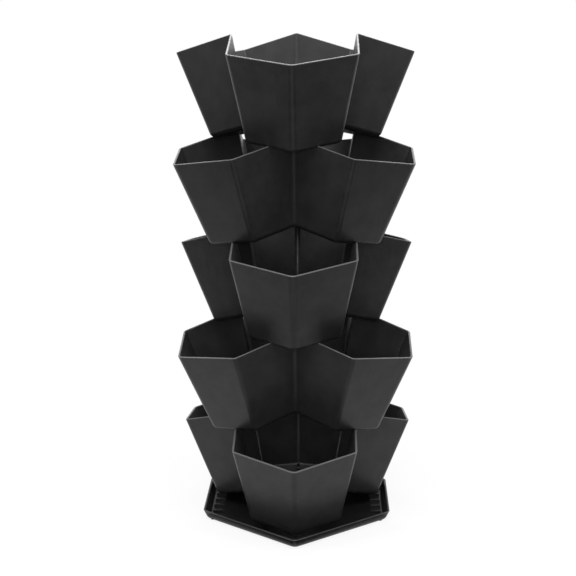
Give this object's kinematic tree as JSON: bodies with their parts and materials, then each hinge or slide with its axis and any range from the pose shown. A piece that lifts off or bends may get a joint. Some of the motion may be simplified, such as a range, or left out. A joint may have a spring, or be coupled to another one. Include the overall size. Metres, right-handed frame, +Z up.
{
  "type": "vertical planter tower",
  "caption": "Freestanding vertical planter: stacked three-cup moulded tiers with sloping hexagonal rims, each turned by half a cup on the one below, on a six-sided drip saucer.",
  "frame": {"origin": "centre of the saucer's underside, on the ground", "axes": "+Z up the tower; -Y towards the nose of one cup of the lowest tier"},
  "size_m": [0.305, 0.344, 0.6379],
  "materials": {
    "saucer_plastic": "black moulded polypropylene, satin",
    "tier_plastic": "charcoal black moulded polypropylene, fine satin grain"
  },
  "bodies": {
    "saucer": {"tray": "saucer_plastic"},
    "tier_1": {"tier_1": "tier_plastic"},
    "tier_2": {"tier_2": "tier_plastic"},
    "tier_3": {"tier_3": "tier_plastic"},
    "tier_4": {"tier_4": "tier_plastic"},
    "tier_5": {"tier_5": "tier_plastic"}
  },
  "joints": [
    {"name": "tier_1_lift", "type": "slide", "parent": "saucer", "child": "tier_1", "axis": [0, 0, 1], "range_m": [0, 0.08]},
    {"name": "tier_2_lift", "type": "slide", "parent": "tier_1", "child": "tier_2", "axis": [0, 0, 1], "range_m": [0, 0.08]},
    {"name": "tier_3_lift", "type": "slide", "parent": "tier_2", "child": "tier_3", "axis": [0, 0, 1], "range_m": [0, 0.08]},
    {"name": "tier_4_lift", "type": "slide", "parent": "tier_3", "child": "tier_4", "axis": [0, 0, 1], "range_m": [0, 0.08]},
    {"name": "tier_5_lift", "type": "slide", "parent": "tier_4", "child": "tier_5", "axis": [0, 0, 1], "range_m": [0, 0.08]}
  ]
}
